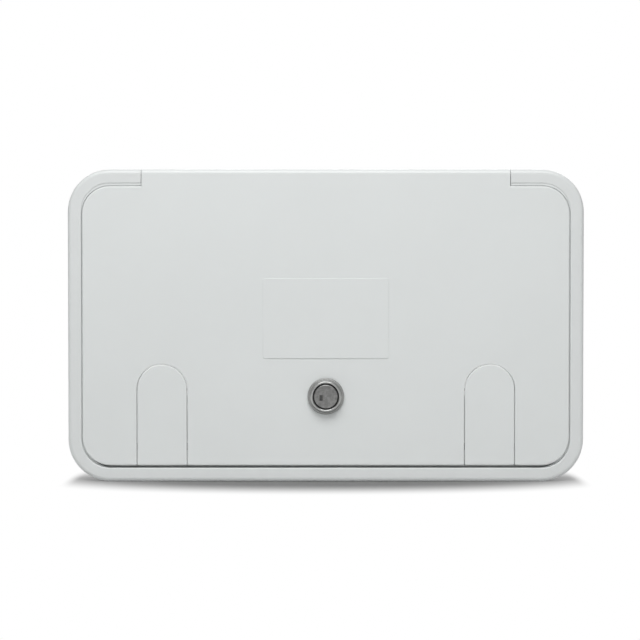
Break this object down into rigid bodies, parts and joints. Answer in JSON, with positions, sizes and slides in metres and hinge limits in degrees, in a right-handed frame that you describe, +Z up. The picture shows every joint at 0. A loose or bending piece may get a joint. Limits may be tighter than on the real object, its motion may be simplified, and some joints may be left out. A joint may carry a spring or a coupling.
{
  "type": "power cord hatch",
  "caption": "White wall hatch for power cords: screwed frame, top-hinged flush door with round cam lock, raised bare pad and sprung arched cord flaps at its lower edge.",
  "frame": {"origin": "centre of the wall screw pattern, on the frame's rear face", "axes": "+X to the right seen from outside, +Z up, -Y out of the wall towards the viewer"},
  "size_m": [0.39, 0.048, 0.236],
  "materials": {
    "frame_plastic": "white moulded ABS, satin",
    "door_plastic": "white moulded ABS, satin",
    "seal_rubber": "matt black rubber",
    "stainless_steel": "drawn stainless steel",
    "spring_steel": "stainless spring wire",
    "lock_zinc": "satin nickel on die-cast zinc",
    "plug_metal": "satin grey metal",
    "plated_steel": "zinc-plated steel",
    "wafer_brass": "punched brass"
  },
  "bodies": {
    "frame": {"frame": "frame_plastic", "door_seal": "seal_rubber", "left_hinge_pin": "stainless_steel", "right_hinge_pin": "stainless_steel"},
    "door": {"door": "door_plastic", "left_flap_pin": "stainless_steel", "right_flap_pin": "stainless_steel", "left_flap_spring": "spring_steel", "right_flap_spring": "spring_steel", "lock_housing": "lock_zinc", "lock_gasket": "seal_rubber", "lock_face_ring": "seal_rubber", "lock_nut": "plated_steel"},
    "left_flap": {"left_cord_flap": "door_plastic"},
    "right_flap": {"right_cord_flap": "door_plastic"},
    "lock_core": {"lock_plug": "plug_metal", "keyway_shutter": "stainless_steel", "lock_wafers": "wafer_brass", "stop_washer": "plated_steel", "lock_cam": "plated_steel", "cam_washer": "plated_steel", "cam_screw": "plated_steel"}
  },
  "joints": [
    {"name": "door_hinge", "type": "hinge", "parent": "frame", "child": "door", "pos_m": [0, -0.0065, 0.1145], "axis": [-1, 0, 0], "range_deg": [0, 110]},
    {"name": "left_flap_hinge", "type": "hinge", "parent": "door", "child": "left_flap", "pos_m": [-0.1237, -0.0066, -0.0483], "axis": [-1, 0, 0], "range_deg": [0, 80], "stiffness_Nm_per_rad": 0.02, "springref_deg": -45.84, "deforming": ["left_flap_spring"]},
    {"name": "right_flap_hinge", "type": "hinge", "parent": "door", "child": "right_flap", "pos_m": [0.1237, -0.0066, -0.0483], "axis": [-1, 0, 0], "range_deg": [0, 80], "stiffness_Nm_per_rad": 0.02, "springref_deg": -45.84, "deforming": ["right_flap_spring"]},
    {"name": "lock_turn", "type": "hinge", "parent": "door", "child": "lock_core", "pos_m": [0, -0.005, -0.0532], "axis": [0, 1, 0], "range_deg": [0, 90]}
  ]
}
